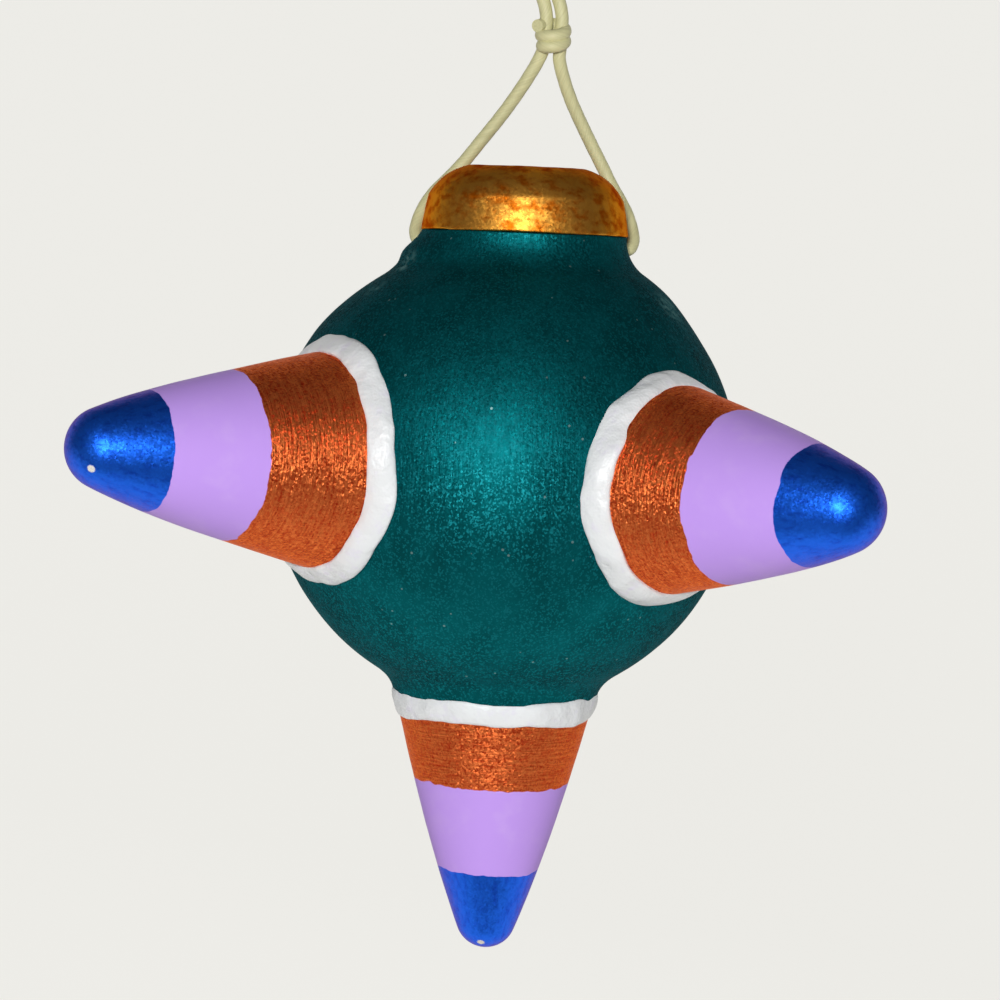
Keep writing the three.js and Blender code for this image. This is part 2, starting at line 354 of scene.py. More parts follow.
def new_material(name):
    """A material with its tree and its shader."""
    material = bpy.data.materials.new(name)
    material.use_nodes = True
    return material, material.node_tree, material.node_tree.nodes["Principled BSDF"]


def marks(tree, place, grain, low, high, most=1.0):
    """Share, from 0 to most, of soft-edged marks that are as long as grain along x, y and z."""
    scale = tuple(1 / length for length in grain)
    stretched = add_node(tree, "ShaderNodeMapping", {"Vector": place, "Scale": scale})
    noise = {"Vector": stretched, "Scale": 1.0, "Detail": 3.0, "Roughness": 0.6}
    cloudy = add_node(tree, "ShaderNodeTexNoise", noise)
    edges = {"Value": cloudy, "From Min": low, "From Max": high, "To Max": most}
    return add_node(tree, "ShaderNodeMapRange", edges, interpolation_type="SMOOTHSTEP")


def specks(tree, place, spacing, radius, share, most):
    """Share, from 0 to most, of small round marks in a part of the cells of a lattice."""
    cells = add_node(tree, "ShaderNodeTexVoronoi", {"Vector": place, "Scale": 1 / spacing})
    edges = {"Value": cells.outputs["Distance"], "From Min": 1.3 * radius / spacing, "To Max": most}
    edges["From Max"] = 0.7 * radius / spacing
    dot = add_node(tree, "ShaderNodeMapRange", edges, interpolation_type="SMOOTHSTEP")
    chance = add_node(tree, "ShaderNodeSeparateXYZ", {0: cells.outputs["Color"]})
    picked = add_node(tree, "ShaderNodeMath", {0: chance, 1: share}, operation="LESS_THAN")
    return add_node(tree, "ShaderNodeMath", {0: dot, 1: picked}, operation="MULTIPLY")


def rubbed_spot(tree, place, middle, reach):
    """Share of patchy rubbing round one point."""
    away = add_node(tree, "ShaderNodeVectorMath", {0: place, 1: middle}, operation="DISTANCE")
    near = {"Value": away.outputs["Value"], "From Min": reach, "From Max": 0.2 * reach}
    spot = add_node(tree, "ShaderNodeMapRange", near, interpolation_type="SMOOTHSTEP")
    patchy = marks(tree, place, (0.9 * MM, 0.9 * MM, 0.5 * MM), 0.4, 0.65)
    return add_node(tree, "ShaderNodeMath", {0: spot, 1: patchy}, operation="MULTIPLY")


def flakes(tree, place, flake):
    """Flakes of pigment, each with a tint of its own from 0 to 1 and a lean of its own."""
    cells = add_node(tree, "ShaderNodeTexVoronoi", {"Vector": place, "Scale": 1 / flake})
    lean = {0: cells.outputs["Color"], 1: (0.5, 0.5, 0.5)}
    aside = add_node(tree, "ShaderNodeVectorMath", lean, operation="SUBTRACT")
    tint = add_node(tree, "ShaderNodeSeparateXYZ", {0: cells.outputs["Color"]})
    return tint.outputs["Z"], aside.outputs[0]


def leaning_normal(tree, aside, tilt):
    """The surface's normal, tilted aside."""
    scaled = add_node(tree, "ShaderNodeVectorMath", {0: aside, "Scale": tilt}, operation="SCALE")
    straight = add_node(tree, "ShaderNodeNewGeometry").outputs["Normal"]
    leaning = add_node(tree, "ShaderNodeVectorMath", {0: straight, 1: scaled}, operation="ADD")
    return add_node(tree, "ShaderNodeVectorMath", {0: leaning}, operation="NORMALIZE")


def pearl_teal_acrylic(paints):
    """Pearl acrylic brushed upright on clay: a broad soft glow that dies away towards the edges,
    bristle tracks, pale dust and a few rubbed places."""
    material, tree, shader = new_material("pearl_teal_acrylic")
    place = add_node(tree, "ShaderNodeTexCoord").outputs["Object"]
    tracks = marks(tree, place, (0.3 * MM, 0.3 * MM, 7 * MM), 0.3, 0.75)
    patches = marks(tree, place, (3.5 * MM, 3.5 * MM, 5 * MM), 0.3, 0.7)
    coat = add_node(
        tree, "ShaderNodeMix", {0: patches, 6: paints.teal_low, 7: paints.teal}, data_type="RGBA"
    )

    # Flakes of pearl are finer than this, but would not show
    tint, aside = flakes(tree, place, 0.13 * MM)
    pale = add_node(tree, "ShaderNodeMath", {0: tint, 1: 0.75}, operation="GREATER_THAN")
    pearly = add_node(tree, "ShaderNodeMix", {0: pale, 6: coat, 7: paints.teal_flake}, data_type="RGBA")

    worn = specks(tree, place, 1.4 * MM, 0.1 * MM, 0.6, 0.7)
    for middle, reach in RUBBED:
        spot = rubbed_spot(tree, place, middle, reach)
        worn = add_node(tree, "ShaderNodeMath", {0: worn, 1: spot}, operation="MAXIMUM")
    dusty = add_node(tree, "ShaderNodeMix", {0: worn, 6: pearly, 7: paints.scuff}, data_type="RGBA")
    gloss = add_node(tree, "ShaderNodeMix", {0: tracks, 2: 0.5, 3: 0.6})

    normal = leaning_normal(tree, aside, 0.24)
    ridges = {"Height": tracks, "Strength": 0.5, "Distance": 0.03 * MM, "Normal": normal}
    bump = add_node(tree, "ShaderNodeBump", ridges)
    wire(tree, shader, {"Base Color": dusty, "Roughness": gloss, "Normal": bump, "Metallic": 0.85})
    wire(tree, shader, {"Specular IOR Level": 0.2, "Specular Tint": paints.teal})
    return material


def bare_clay(paints):
    """Fired earthenware left bare inside the pot: dull, with fine grit."""
    material, tree, shader = new_material("bare_fired_clay")
    place = add_node(tree, "ShaderNodeTexCoord").outputs["Object"]
    grit = marks(tree, place, (0.4 * MM,) * 3, 0.3, 0.7, 0.25)
    shade = add_node(tree, "ShaderNodeMix", {0: grit, 6: paints.clay, 7: paints.chalk}, data_type="RGBA")
    bump = add_node(tree, "ShaderNodeBump", {"Height": grit, "Strength": 0.5, "Distance": 0.2 * MM})
    wire(tree, shader, {"Base Color": shade, "Normal": bump, "Roughness": 0.9})
    return material


def gold_acrylic(paints):
    """Metallic gold acrylic dabbed on: it glitters where it faces the light, and is darker where thin."""
    material, tree, shader = new_material("metallic_gold_acrylic")
    place = add_node(tree, "ShaderNodeTexCoord").outputs["Object"]
    dabs = marks(tree, place, (1.1 * MM, 1.1 * MM, 0.8 * MM), 0.3, 0.6)
    shade = add_node(tree, "ShaderNodeMix", {0: dabs, 6: paints.gold_low, 7: paints.gold}, data_type="RGBA")
    gloss = add_node(tree, "ShaderNodeMix", {0: dabs, 2: 0.55, 3: 0.5})

    # Flakes of bronze are finer than this, but would not show
    aside = flakes(tree, place, 0.17 * MM)[1]
    normal = leaning_normal(tree, aside, 0.15)
    bump = {"Height": dabs, "Strength": 0.1, "Distance": 0.1 * MM, "Normal": normal}
    relief = add_node(tree, "ShaderNodeBump", bump)
    wire(tree, shader, {"Base Color": shade, "Roughness": gloss, "Normal": relief, "Metallic": 1.0})
    wire(tree, shader, {"Specular Tint": paints.gold_edge})
    return material


def banded_acrylics(paints):
    """Three acrylics on one cone: sparkling brushed copper, flat lavender and a pearl blue tip."""
    material, tree, shader = new_material("banded_acrylic_paints")
    place = add_node(tree, "ShaderNodeAttribute", attribute_name="own_place").outputs["Vector"]
    band = add_node(tree, "ShaderNodeAttribute", attribute_name="band").outputs["Fac"]
    chip = add_node(tree, "ShaderNodeAttribute", attribute_name="chip").outputs["Fac"]
    waver = marks(tree, place, (3.5 * MM,) * 3, 0.2, 0.8, 0.06)
    border = add_node(tree, "ShaderNodeMath", {0: waver, 1: band}, operation="ADD")
    lavender_edge = {"Value": border, "From Min": 1.025, "From Max": 1.035}
    lavender_share = add_node(tree, "ShaderNodeMapRange", lavender_edge, interpolation_type="SMOOTHSTEP")
    blue_edge = {"Value": border, "From Min": 2.025, "From Max": 2.035}
    blue_share = add_node(tree, "ShaderNodeMapRange", blue_edge, interpolation_type="SMOOTHSTEP")

    # Flakes of metal are finer than this, but would not show
    tint, aside = flakes(tree, place, 0.15 * MM)

    # Copper: brush tracks run round the cone, and each flake has a tint of its own
    tracks = marks(tree, place, (2.2 * MM, 2.2 * MM, 0.14 * MM), 0.25, 0.75)
    lively = add_node(tree, "ShaderNodeMix", {0: 0.4, 2: tint, 3: tracks})
    copper = add_node(
        tree, "ShaderNodeMix", {0: lively, 6: paints.copper_low, 7: paints.copper}, data_type="RGBA"
    )

    # Lavender: nearly even, with rubbed smudges and a few dark specks
    smudges = marks(tree, place, (3 * MM,) * 3, 0.5, 0.8, 0.5)
    flat = add_node(
        tree, "ShaderNodeMix", {0: smudges, 6: paints.lavender, 7: paints.lavender_pale}, data_type="RGBA"
    )
    dots = specks(tree, place, 2.6 * MM, 0.06 * MM, 0.3, 0.6)
    lavender = add_node(tree, "ShaderNodeMix", {0: dots, 6: flat, 7: paints.blue_low}, data_type="RGBA")

    # Blue: tracks run along the tip
    strokes = marks(tree, place, (0.5 * MM, 0.5 * MM, 2 * MM), 0.0, 0.6)
    blue = add_node(tree, "ShaderNodeMix", {0: strokes, 6: paints.blue_low, 7: paints.blue}, data_type="RGBA")

    chip_edge = {"Value": chip, "From Min": 0.42 * MM, "From Max": 0.3 * MM}
    chipped = add_node(tree, "ShaderNodeMapRange", chip_edge, interpolation_type="SMOOTHSTEP")
    two = add_node(tree, "ShaderNodeMix", {0: lavender_share, 6: copper, 7: lavender}, data_type="RGBA")
    three = add_node(tree, "ShaderNodeMix", {0: blue_share, 6: two, 7: blue}, data_type="RGBA")
    painted = add_node(tree, "ShaderNodeMix", {0: chipped, 6: three, 7: paints.chalk}, data_type="RGBA")

    copper_metal = add_node(tree, "ShaderNodeMix", {0: lavender_share, 2: 0.78, 3: 0.0})
    paint_metal = add_node(tree, "ShaderNodeMix", {0: blue_share, 2: copper_metal, 3: 0.9})
    metal = add_node(tree, "ShaderNodeMix", {0: chipped, 2: paint_metal, 3: 0.0})
    copper_gloss = add_node(tree, "ShaderNodeMix", {0: lavender_share, 2: 0.4, 3: 0.6})
    paint_gloss = add_node(tree, "ShaderNodeMix", {0: blue_share, 2: copper_gloss, 3: 0.44})
    gloss = add_node(tree, "ShaderNodeMix", {0: chipped, 2: paint_gloss, 3: 0.8})
    copper_lean = add_node(tree, "ShaderNodeMix", {0: lavender_share, 2: 0.45, 3: 0.0})
    lean = add_node(tree, "ShaderNodeMix", {0: blue_share, 2: copper_lean, 3: 0.14})
    relief = add_node(tree, "ShaderNodeMix", {0: lavender_share, 2: 0.7, 3: 0.0})
    normal = leaning_normal(tree, aside, lean)
    ridges = {"Height": tracks, "Strength": relief, "Distance": 0.06 * MM, "Normal": normal}
    bump = add_node(tree, "ShaderNodeBump", ridges)
    wire(tree, shader, {"Base Color": painted, "Metallic": metal, "Roughness": gloss, "Normal": bump})
    wire(tree, shader, {"Specular IOR Level": 0.3, "Specular Tint": paints.band_edge})
    return material


def white_slip(paints):
    """Thick white acrylic squeezed from a nozzle: smooth, a little glossy, bluish where it is thin."""
    material, tree, shader = new_material("thick_white_acrylic")
    place = add_node(tree, "ShaderNodeTexCoord").outputs["Object"]
    thin = marks(tree, place, (1.2 * MM,) * 3, 0.5, 0.8, 0.16)
    shade = add_node(
        tree, "ShaderNodeMix", {0: thin, 6: paints.white, 7: paints.lavender_pale}, data_type="RGBA"
    )
    ripples = marks(tree, place, (1.6 * MM,) * 3, 0.2, 0.8)
    bump = add_node(tree, "ShaderNodeBump", {"Height": ripples, "Strength": 0.5, "Distance": 0.2 * MM})
    wire(tree, shader, {"Base Color": shade, "Normal": bump, "Roughness": 0.4})
    return material


def waxed_cotton(paints):
    """Waxed cotton cord: smooth and faintly shiny, with fibres that follow its twist."""
    material, tree, shader = new_material("waxed_cotton_cord")
    place = add_node(tree, "ShaderNodeAttribute", attribute_name="cord_place").outputs["Vector"]
    fibres = marks(tree, place, (0.16 * MM, 2.5 * MM, 0.16 * MM), 0.25, 0.65)
    shade = add_node(tree, "ShaderNodeMix", {0: fibres, 6: paints.cord_low, 7: paints.cord}, data_type="RGBA")
    bump = add_node(tree, "ShaderNodeBump", {"Height": fibres, "Strength": 0.25, "Distance": 0.05 * MM})
    wire(tree, shader, {"Base Color": shade, "Normal": bump, "Roughness": 0.5, "Sheen Weight": 0.1})
    return material


def looked_at(tree):
    """1 where a surface is seen directly, in gloss or through glass, and 0 where it only lights others."""
    rays = add_node(tree, "ShaderNodeLightPath").outputs
    first = {0: rays["Is Camera Ray"], 1: rays["Is Glossy Ray"]}
    either = add_node(tree, "ShaderNodeMath", first, operation="MAXIMUM")
    all_three = {0: either, 1: rays["Is Transmission Ray"]}
    return add_node(tree, "ShaderNodeMath", all_three, operation="MAXIMUM")


def studio_paper(paints):
    """Matte paper of the floor and backdrop: pale where seen, directly or in gloss, and still shaded."""
    material, tree, shader = new_material("matte_studio_paper")
    wire(tree, shader, {"Base Color": paints.paper, "Roughness": 0.95})
    glow = add_node(tree, "ShaderNodeMath", {0: looked_at(tree), 1: PAPER_GLOW}, operation="MULTIPLY")
    pale = add_node(tree, "ShaderNodeEmission", {"Color": paints.paper, "Strength": 1.0})
    surface = add_node(tree, "ShaderNodeMixShader", {0: glow, 1: shader, 2: pale})
    wire(tree, tree.nodes["Material Output"], {"Surface": surface})
    return material


TURNED_INPUTS = (
    ("Outline", "NodeSocketGeometry"),
    ("Rings", "NodeSocketInt"),
    ("Segments", "NodeSocketInt"),
    ("Shift", "NodeSocketFloat"),
    ("Shift from", "NodeSocketFloat"),
    ("Shift to", "NodeSocketFloat"),
    ("Smear", "NodeSocketFloat"),
    ("Smear height", "NodeSocketFloat"),
    ("Smear reach", "NodeSocketFloat"),
    ("Wobble", "NodeSocketFloat"),
    ("Wobble length", "NodeSocketFloat"),
    ("Seed", "NodeSocketInt"),
    ("Copper start", "NodeSocketFloat"),
    ("Copper end", "NodeSocketFloat"),
    ("Lavender end", "NodeSocketFloat"),
    ("Tip", "NodeSocketFloat"),
    ("Chip", "NodeSocketVector"),
    ("Finish", "NodeSocketMaterial"),
)


def new_tree(name, inputs):
    """An empty geometry tree with its named inputs, and the sockets of its group input."""
    tree = bpy.data.node_groups.new(name, "GeometryNodeTree")
    for label, kind in inputs:
        tree.interface.new_socket(label, in_out="INPUT", socket_type=kind)
    tree.interface.new_socket("Mesh", in_out="OUTPUT", socket_type="NodeSocketGeometry")
    return tree, add_node(tree, "NodeGroupInput").outputs


def end_tree(tree, geometry, finish):
    """Smooths the mesh, realizes it and gives it its finish."""
    smooth = add_node(tree, "GeometryNodeSetShadeSmooth", {0: geometry})
    real = add_node(tree, "GeometryNodeRealizeInstances", {0: smooth})
    painted = add_node(tree, "GeometryNodeSetMaterial", {"Geometry": real, "Material": finish})
    add_node(tree, "NodeGroupOutput", {0: painted})
    return tree


def turned_place(tree, given):
    """Where a grid's point goes when an outline, x out and z up, is turned about Z: one ring for each
    point of the outline, its upper part shifted to the right, a smear of clay on the left."""
    index = add_node(tree, "GeometryNodeInputIndex")
    ring = add_node(tree, "ShaderNodeMath", {0: index, 1: given["Rings"]}, operation="MODULO")
    position = add_node(tree, "GeometryNodeInputPosition")
    picked = {"Geometry": given["Outline"], "Value": position, "Index": ring}
    sample = add_node(tree, "GeometryNodeSampleIndex", picked, data_type="FLOAT_VECTOR", domain="POINT")
    outline = add_node(tree, "ShaderNodeSeparateXYZ", {0: sample}).outputs
    across = add_node(tree, "ShaderNodeSeparateXYZ", {0: position}).outputs
    whole_turn = {0: across["X"], 1: 2 * math.pi, 2: math.pi}
    turn = add_node(tree, "ShaderNodeMath", whole_turn, operation="MULTIPLY_ADD")
    cosine = add_node(tree, "ShaderNodeMath", {0: turn}, operation="COSINE")
    sine = add_node(tree, "ShaderNodeMath", {0: turn}, operation="SINE")

    lean = {"Value": outline["Z"], "From Min": given["Shift from"], "From Max": given["Shift to"]}
    lean["To Max"] = given["Shift"]
    shift = add_node(tree, "ShaderNodeMapRange", lean, interpolation_type="SMOOTHSTEP")
    apart = {0: outline["Z"], 1: given["Smear height"]}
    above = add_node(tree, "ShaderNodeMath", apart, operation="SUBTRACT")
    away = add_node(tree, "ShaderNodeMath", {0: above}, operation="ABSOLUTE")
    hump = {"Value": away, "From Min": given["Smear reach"], "From Max": 0.0, "To Max": given["Smear"]}
    smear = add_node(tree, "ShaderNodeMapRange", hump, interpolation_type="SMOOTHSTEP")
    leftward = add_node(tree, "ShaderNodeMapRange", {"Value": cosine, "From Min": 0.0, "From Max": -1.0})
    thick = add_node(tree, "ShaderNodeMath", {0: smear, 1: leftward}, operation="MULTIPLY")

    east = add_node(tree, "ShaderNodeMath", {0: outline["X"], 1: cosine, 2: shift}, operation="MULTIPLY_ADD")
    smeared = add_node(tree, "ShaderNodeMath", {0: east, 1: thick}, operation="SUBTRACT")
    north = add_node(tree, "ShaderNodeMath", {0: outline["X"], 1: sine}, operation="MULTIPLY")
    return add_node(tree, "ShaderNodeCombineXYZ", {"X": smeared, "Y": north, "Z": outline["Z"]})


def turned_tree():
    """Tree that turns an outline about Z, with the wobble of a piece shaped by hand."""
    tree, given = new_tree("turned_by_hand", TURNED_INPUTS)
    sides = {"Size X": 1.0, "Size Y": 1.0, "Vertices X": given["Segments"], "Vertices Y": given["Rings"]}
    grid = add_node(tree, "GeometryNodeMeshGrid", sides)
    spun = {"Geometry": grid, "Position": turned_place(tree, given)}
    shaped = add_node(tree, "GeometryNodeSetPosition", spun)
    closed = add_node(tree, "GeometryNodeMergeByDistance", {"Geometry": shaped, "Distance": 1e-6})

    # Wobble: noise in every direction
    place = add_node(tree, "GeometryNodeInputPosition")
    pace = add_node(tree, "ShaderNodeMath", {0: 1.0, 1: given["Wobble length"]}, operation="DIVIDE")
    noise = {"Vector": place, "W": given["Seed"], "Scale": pace, "Detail": 2.0}
    stray = add_node(tree, "ShaderNodeTexNoise", noise, noise_dimensions="4D").outputs["Color"]
    centred = add_node(tree, "ShaderNodeVectorMath", {0: stray, 1: (0.5, 0.5, 0.5)}, operation="SUBTRACT")
    both_ways = add_node(tree, "ShaderNodeMath", {0: given["Wobble"], 1: 2.0}, operation="MULTIPLY")
    offset = add_node(tree, "ShaderNodeVectorMath", {0: centred, "Scale": both_ways}, operation="SCALE")
    handmade = add_node(tree, "GeometryNodeSetPosition", {"Geometry": closed, "Offset": offset})

    # Where each point lies on its own piece, on which band of paint, and how far from a chip in it
    height = add_node(tree, "ShaderNodeSeparateXYZ", {0: place}).outputs["Z"]
    ends = [given[name] for name in ("Copper start", "Copper end", "Lavender end", "Tip")]
    band = None
    for low, high in zip(ends, ends[1:]):
        share = add_node(tree, "ShaderNodeMapRange", {"Value": height, "From Min": low, "From Max": high})
        band = add_node(tree, "ShaderNodeMath", {0: share, 1: band or 0.0}, operation="ADD")
    away = add_node(tree, "ShaderNodeVectorMath", {0: place, 1: given["Chip"]}, operation="DISTANCE")
    kept = (
        ("own_place", "FLOAT_VECTOR", place),
        ("band", "FLOAT", band),
        ("chip", "FLOAT", away.outputs["Value"]),
    )
    marked = handmade
    for name, kind, value in kept:
        wiring = {"Geometry": marked, "Name": name, "Value": value}
        marked = add_node(tree, "GeometryNodeStoreNamedAttribute", wiring, data_type=kind)
    return end_tree(tree, marked, given["Finish"])


CORD_INPUTS = (
    ("Route", "NodeSocketGeometry"),
    ("Diameter", "NodeSocketFloat"),
    ("Lay", "NodeSocketFloat"),
    ("Plies", "NodeSocketInt"),
    ("Groove", "NodeSocketFloat"),
    ("Step", "NodeSocketFloat"),
    ("Finish", "NodeSocketMaterial"),
)


def laid_cord_tree():
    """Tree that lays a cord of twisted yarns along a route."""
    tree, given = new_tree("laid_cord", CORD_INPUTS)
    fine = {"Curve": given["Route"], "Length": given["Step"]}
    route = add_node(tree, "GeometryNodeResampleCurve", fine, mode="LENGTH")
    run = add_node(tree, "GeometryNodeSplineParameter").outputs["Length"]
    turns = add_node(tree, "ShaderNodeMath", {0: run, 1: given["Lay"]}, operation="DIVIDE")
    twist = add_node(tree, "ShaderNodeMath", {0: turns, 1: 2 * math.pi}, operation="MULTIPLY")
    twisted = add_node(tree, "GeometryNodeSetCurveTilt", {"Curve": route, "Tilt": twist})

    # Section: a round with a shallow groove between yarns
    radius = add_node(tree, "ShaderNodeMath", {0: given["Diameter"], 1: 0.5}, operation="MULTIPLY")
    section = add_node(tree, "GeometryNodeCurvePrimitiveCircle", {"Resolution": 24, "Radius": radius})
    place = add_node(tree, "GeometryNodeInputPosition")
    aside = add_node(tree, "ShaderNodeSeparateXYZ", {0: place}).outputs
    angle = add_node(tree, "ShaderNodeMath", {0: aside["Y"], 1: aside["X"]}, operation="ARCTAN2")
    lobes = add_node(tree, "ShaderNodeMath", {0: angle, 1: given["Plies"]}, operation="MULTIPLY")
    wave = add_node(tree, "ShaderNodeMath", {0: lobes}, operation="COSINE")
    valley = {"Value": wave, "From Min": -0.2, "From Max": -1.0, "To Max": given["Groove"]}
    dip = add_node(tree, "ShaderNodeMapRange", valley, interpolation_type="SMOOTHSTEP")
    kept = add_node(tree, "ShaderNodeMath", {0: 1.0, 1: dip}, operation="SUBTRACT")
    pulled = add_node(tree, "ShaderNodeVectorMath", {0: place, "Scale": kept}, operation="SCALE")
    profile = add_node(tree, "GeometryNodeSetPosition", {"Geometry": section, "Position": pulled})

    # Places on the cord: round its section and along it
    round_section = {"Geometry": profile, "Name": "cord_section", "Value": place}
    sections = add_node(tree, "GeometryNodeStoreNamedAttribute", round_section, data_type="FLOAT_VECTOR")
    along_route = {"Geometry": twisted, "Name": "cord_run", "Value": run}
    runs = add_node(tree, "GeometryNodeStoreNamedAttribute", along_route, data_type="FLOAT")
    sweep = {"Curve": runs, "Profile Curve": sections, "Fill Caps": True}
    tube = add_node(tree, "GeometryNodeCurveToMesh", sweep)
    along = add_node(tree, "GeometryNodeInputNamedAttribute", {"Name": "cord_run"}, data_type="FLOAT")
    round_it = add_node(
        tree, "GeometryNodeInputNamedAttribute", {"Name": "cord_section"}, data_type="FLOAT_VECTOR"
    )
    on_section = add_node(tree, "ShaderNodeSeparateXYZ", {0: round_it}).outputs
    sides = {"X": on_section["X"], "Y": along, "Z": on_section["Y"]}
    cord_place = add_node(tree, "ShaderNodeCombineXYZ", sides)
    on_cord = {"Geometry": tube, "Name": "cord_place", "Value": cord_place}
    marked = add_node(tree, "GeometryNodeStoreNamedAttribute", on_cord, data_type="FLOAT_VECTOR")
    return end_tree(tree, marked, given["Finish"])


def shared(maker, name, *given):
    """A material or tree that is made once and then found by its name."""
    found = bpy.data.materials.get(name) or bpy.data.node_groups.get(name)
    return found or maker(*given)


def line_object(name, points):
    """A curve object of one straight-edged line through the points."""
    curve = bpy.data.curves.new(name, "CURVE")
    curve.dimensions = "3D"
    spline = curve.splines.new("POLY")
    spline.points.add(len(points) - 1)
    for point, place in zip(spline.points, points):
        point.co = (*place, 1.0)
    made = bpy.data.objects.new(name, curve)
    bpy.context.scene.collection.objects.link(made)
    return made


def grown(name, points, tree, settings, place=Matrix.Identity(4)):
    """The plain mesh that a tree grows from a line, moved to its place."""
    line = line_object(name + "_line", points)
    modifier = line.modifiers.new(tree.name, "NODES")
    modifier.node_group = tree
    sockets = {item.name: item for item in tree.interface.items_tree if item.in_out == "INPUT"}
    for label, value in settings.items():
        modifier[sockets[label].identifier] = value
    evaluated = line.evaluated_get(bpy.context.evaluated_depsgraph_get())
    mesh = bpy.data.meshes.new_from_object(evaluated)
    curve = line.data
    bpy.data.objects.remove(line)
    bpy.data.curves.remove(curve)
    if not mesh.polygons:
        raise RuntimeError(name + " came out empty")
    mesh.name = name
    mesh.materials.clear()
    mesh.materials.append(settings["Finish"])
    mesh.polygons.foreach_set("material_index", [0] * len(mesh.polygons))
    mesh.transform(place)
    made = bpy.data.objects.new(name, mesh)
    bpy.context.scene.collection.objects.link(made)
    return made


def seated(piece, body, slot, *nodes):
    """Lets a piece ride on a body and stand for its solids, which it hides."""
    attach(piece, body)
    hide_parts(*nodes)
    return piece


def arc(centre, radius, start, end, steps):
    """Points of an arc in the plane of an outline, angles in radians from +x towards +z."""
    turns = [start + (end - start) * i / steps for i in range(steps + 1)]
    return [Vector((centre[0] + radius * math.cos(a), 0, centre[1] + radius * math.sin(a))) for a in turns]


def bow(first, pull, last, steps):
    """Points of a curve from first to last, drawn towards pull."""
    shares = [i / steps for i in range(steps + 1)]
    return [first * (1 - t) ** 2 + pull * (2 * t * (1 - t)) + last * t**2 for t in shares]


def smooth_route(points, steps):
    """Points of a smooth line through the given ones, close together."""
    ends = [points[0] * 2 - points[1], *points, points[-1] * 2 - points[-2]]
    route = []
    for before, first, last, after in zip(ends, ends[1:], ends[2:], ends[3:]):
        knots = [0.0]
        for a, b in ((before, first), (first, last), (last, after)):
            knots.append(knots[-1] + math.sqrt((b - a).length))
        for i in range(steps):
            t = knots[1] + (knots[2] - knots[1]) * i / steps
            near = before.lerp(first, (t - knots[0]) / (knots[1] - knots[0]))
            mid = first.lerp(last, (t - knots[1]) / (knots[2] - knots[1]))
            far = last.lerp(after, (t - knots[2]) / (knots[3] - knots[2]))
            left = near.lerp(mid, (t - knots[0]) / (knots[2] - knots[0]))
            right = mid.lerp(far, (t - knots[1]) / (knots[3] - knots[1]))
            route.append(left.lerp(right, (t - knots[1]) / (knots[2] - knots[1])))
    return [*route, points[-1]]


def on_belly(radius):
    """The point low on the belly's outline that lies so far from the axis."""
    return Vector((radius, 0, -math.sqrt(BELLY_RADIUS**2 - radius**2)))


def pot_outline(clay):
    """Pot from the lowest point up a collar, the belly and the neck, over its top and down inside."""
    inner = BELLY_RADIUS - clay.wall
    root = on_belly(CONES[-1]["root"])
    foot = root + Vector((clay.collar_lift - SIDE_SLOPE * clay.collar, 0, -clay.collar))
    leave = on_belly(root.x + clay.collar_reach)
    corner = root + Vector((clay.collar_lift, 0, 0))
    top = NECK_MIDDLE.z - BELLY_CENTRE.z
    hollow = clay.neck + clay.neck_fillet
    hollow_height = math.sqrt((BELLY_RADIUS + clay.neck_fillet) ** 2 - hollow**2)
    leaves = math.atan2(hollow_height, hollow)
    mouth_foot = math.sqrt(inner**2 - clay.mouth**2)
    rise = (top - clay.seam - hollow_height) / NECK_STEPS
    neck_side = [Vector((clay.neck, 0, hollow_height + rise * i)) for i in range(1, NECK_STEPS)]
    return [
        *arc((0, 0), BELLY_RADIUS, -math.pi / 2, math.atan2(root.z, root.x) - COLLAR_TUCK, 12),
        *bow(foot, corner, leave, 12),
        *arc((0, 0), BELLY_RADIUS, math.atan2(leave.z, leave.x), leaves, 80)[1:],
        *arc((hollow, hollow_height), clay.neck_fillet, leaves + math.pi, math.pi, 10)[1:],
        *neck_side,
        *arc((clay.neck - clay.seam, top - clay.seam), clay.seam, 0, math.pi / 2, 3),
        *arc((clay.mouth + clay.edge, top - clay.edge), clay.edge, math.pi / 2, math.pi, 5),
        *arc((0, 0), inner, math.atan2(mouth_foot, clay.mouth), -math.pi / 2, 50),
    ]


def rim_outline(clay):
    """Rim from inside its foot, out, up its bowed side to the ridge, over the lip and down the mouth."""
    low = Vector((RIM_RADIUS, 0, clay.seam))
    ridge = Vector((RIM_RADIUS - clay.ridge_inset, 0, clay.ridge_height))
    swell = (low + ridge) / 2 + Vector((2 * clay.rim_bow, 0, 0))
    crest = Vector((clay.mouth + clay.lip, 0, RIM_HEIGHT))
    drawn = crest + Vector((clay.lip_draw, 0, -clay.lip_fall))
    inside = Vector((clay.mouth, 0, RIM_HEIGHT - clay.lip))
    return [
        Vector((clay.mouth, 0, 0)),
        *arc((RIM_RADIUS - clay.seam, clay.seam), clay.seam, -math.pi / 2, 0, 3),
        *bow(low, swell, ridge, 16)[1:],
        *bow(ridge, drawn, crest, 18)[1:],
        *bow(crest, Vector((clay.mouth, 0, RIM_HEIGHT)), inside, 8)[1:],
        Vector((clay.mouth, 0, 0)),
    ]


